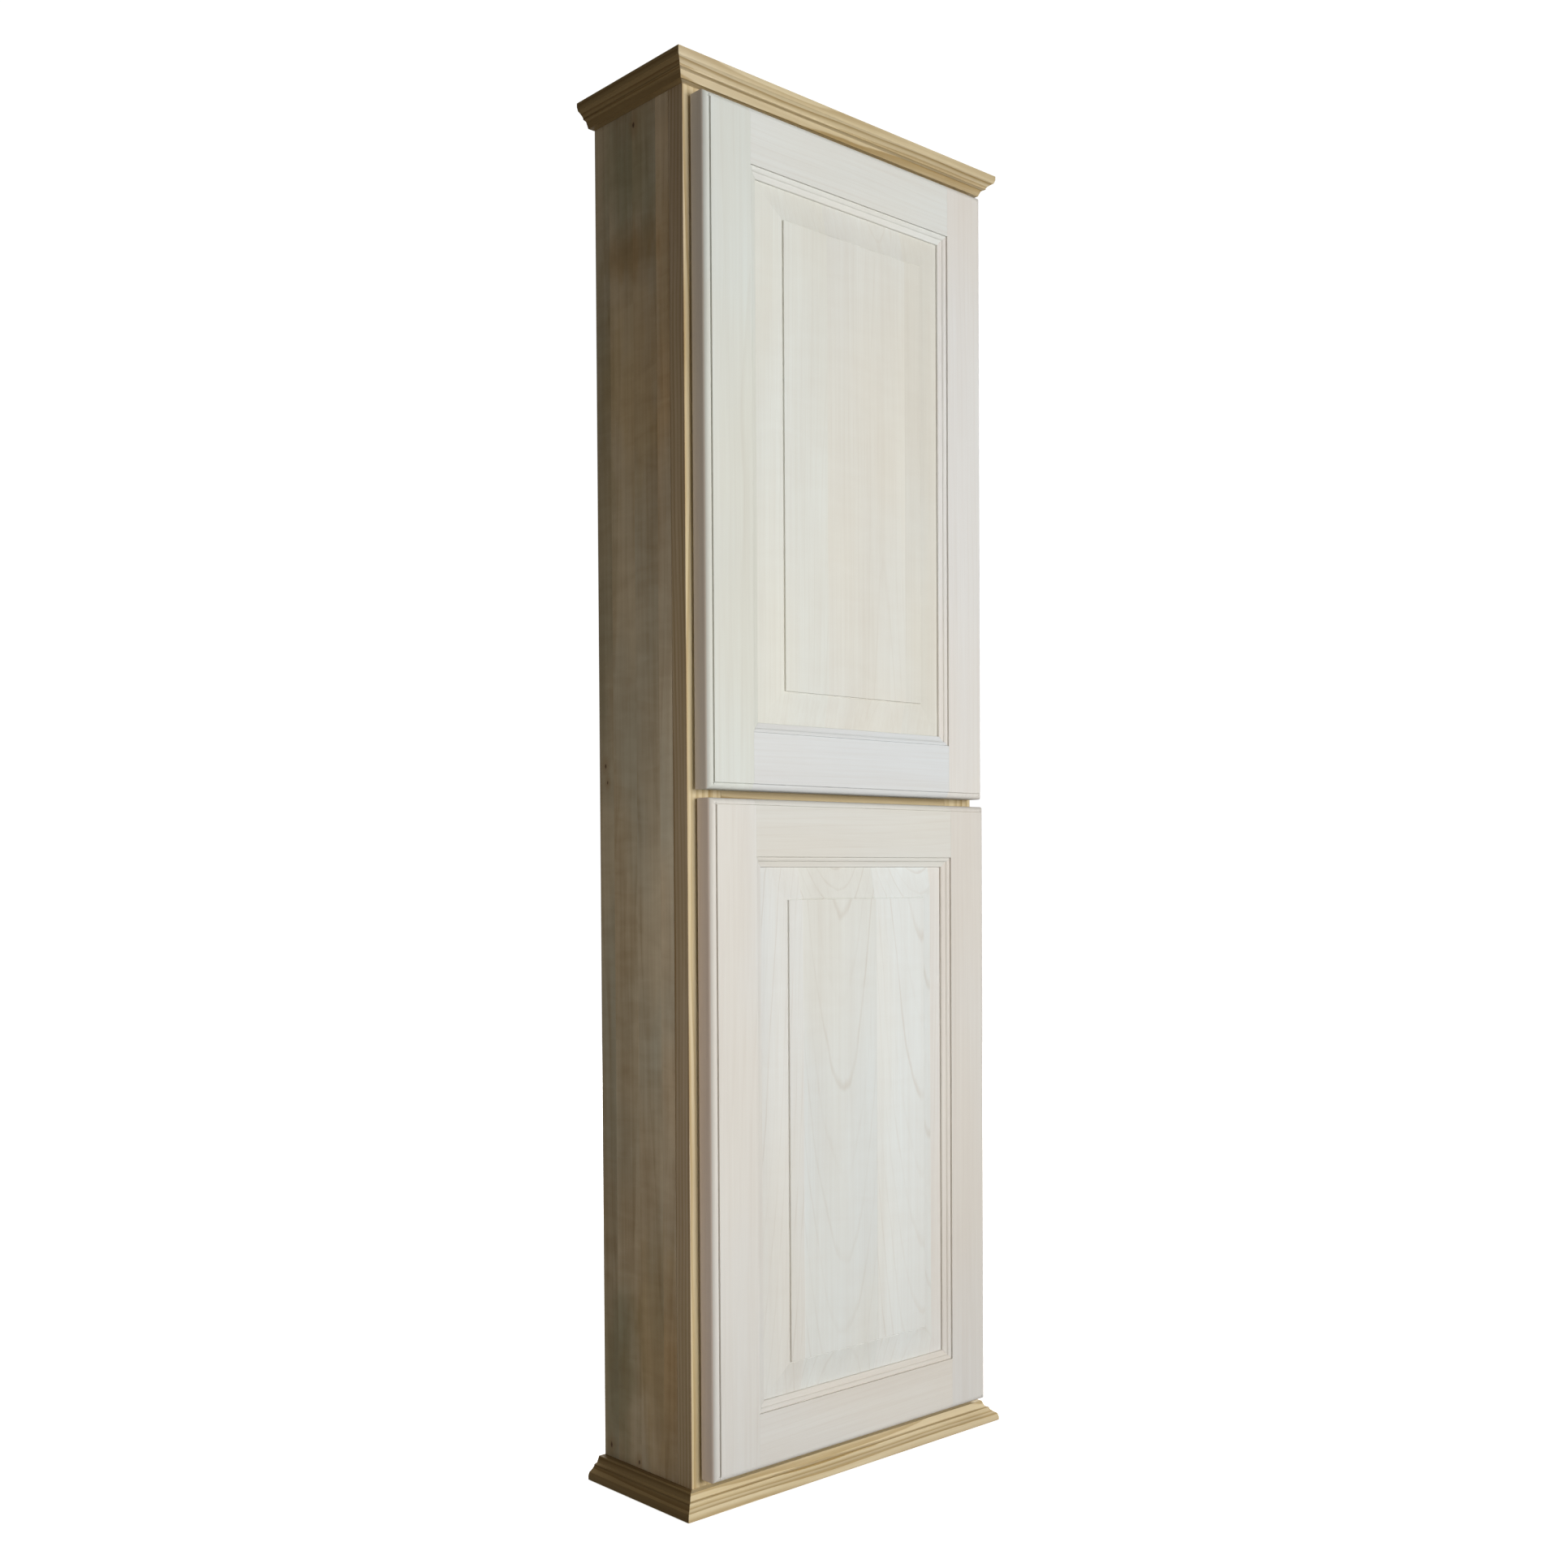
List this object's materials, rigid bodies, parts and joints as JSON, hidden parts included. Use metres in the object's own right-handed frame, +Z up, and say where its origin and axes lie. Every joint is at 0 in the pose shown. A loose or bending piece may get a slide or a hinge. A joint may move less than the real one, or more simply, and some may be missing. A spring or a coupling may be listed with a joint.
{
  "type": "wall cabinet",
  "caption": "Tall, shallow on-the-wall cabinet of unfinished wood with stacked raised-panel doors, adjustable shelves, crown and base mouldings.",
  "frame": {"origin": "on the wall face, at the cabinet's middle, behind the middle of the hanging rail", "axes": "+Z up along the cabinet's length, +Y into the wall, so the doors face -Y, +X to the right as seen from the front"},
  "size_m": [0.408, 0.1503, 1.2574],
  "materials": {
    "side_wood": "unfinished edge-glued boards, planed, satin",
    "pine": "unfinished pine, planed",
    "moulding_pine": "unfinished pine moulding with darker grain streaks",
    "door_wood": "unfinished pale hardwood, sanded",
    "door_panel_wood": "unfinished pale hardwood, edge-glued staves, sanded",
    "shelf_wood": "unfinished, planed",
    "plywood": "rotary-cut plywood, unfinished",
    "hinge_steel": "nickel-plated steel",
    "pin_steel": "nickel-plated steel"
  },
  "bodies": {
    "cabinet": {"side_panel_left": "side_wood", "side_panel_right": "side_wood", "top_panel": "shelf_wood", "fixed_shelf": "shelf_wood", "bottom_panel": "shelf_wood", "back_panel": "plywood", "hanging_rail": "pine", "face_frame_stile_left": "pine", "face_frame_stile_right": "pine", "face_frame_rail_top": "pine", "face_frame_rail_middle": "pine", "face_frame_rail_bottom": "pine", "crown_moulding_front": "moulding_pine", "crown_moulding_left": "moulding_pine", "crown_moulding_right": "moulding_pine", "base_moulding_front": "moulding_pine", "base_moulding_left": "moulding_pine", "base_moulding_right": "moulding_pine", "upper_door_hinge_bottom_frame_leaf": "hinge_steel", "upper_door_hinge_bottom_pin": "hinge_steel", "upper_door_hinge_top_frame_leaf": "hinge_steel", "upper_door_hinge_top_pin": "hinge_steel", "lower_door_hinge_bottom_frame_leaf": "hinge_steel", "lower_door_hinge_bottom_pin": "hinge_steel", "lower_door_hinge_top_frame_leaf": "hinge_steel", "lower_door_hinge_top_pin": "hinge_steel", "lower_shelf_1": "shelf_wood", "lower_shelf_2": "shelf_wood", "upper_shelf_1": "shelf_wood", "upper_shelf_2": "shelf_wood", "lower_shelf_1_pin_front_left": "pin_steel", "lower_shelf_1_pin_front_right": "pin_steel", "lower_shelf_1_pin_back_left": "pin_steel", "lower_shelf_1_pin_back_right": "pin_steel", "lower_shelf_2_pin_front_left": "pin_steel", "lower_shelf_2_pin_front_right": "pin_steel", "lower_shelf_2_pin_back_left": "pin_steel", "lower_shelf_2_pin_back_right": "pin_steel", "upper_shelf_1_pin_front_left": "pin_steel", "upper_shelf_1_pin_front_right": "pin_steel", "upper_shelf_1_pin_back_left": "pin_steel", "upper_shelf_1_pin_back_right": "pin_steel", "upper_shelf_2_pin_front_left": "pin_steel", "upper_shelf_2_pin_front_right": "pin_steel", "upper_shelf_2_pin_back_left": "pin_steel", "upper_shelf_2_pin_back_right": "pin_steel"},
    "upper_door": {"upper_door_stile_left": "door_wood", "upper_door_stile_right": "door_wood", "upper_door_rail_bottom": "door_wood", "upper_door_rail_top": "door_wood", "upper_door_panel": "door_panel_wood", "upper_door_hinge_bottom_door_leaf": "hinge_steel", "upper_door_hinge_top_door_leaf": "hinge_steel"},
    "lower_door": {"lower_door_stile_left": "door_wood", "lower_door_stile_right": "door_wood", "lower_door_rail_bottom": "door_wood", "lower_door_rail_top": "door_wood", "lower_door_panel": "door_panel_wood", "lower_door_hinge_bottom_door_leaf": "hinge_steel", "lower_door_hinge_top_door_leaf": "hinge_steel"}
  },
  "joints": [
    {"name": "upper_door_swing", "type": "hinge", "parent": "cabinet", "child": "upper_door", "pos_m": [0.18215, -0.1297, -0.28235], "axis": [0, 0, 1], "range_deg": [0, 175]},
    {"name": "lower_door_swing", "type": "hinge", "parent": "cabinet", "child": "lower_door", "pos_m": [0.18435, -0.1297, -0.88695], "axis": [0, 0, 1], "range_deg": [0, 175]}
  ]
}
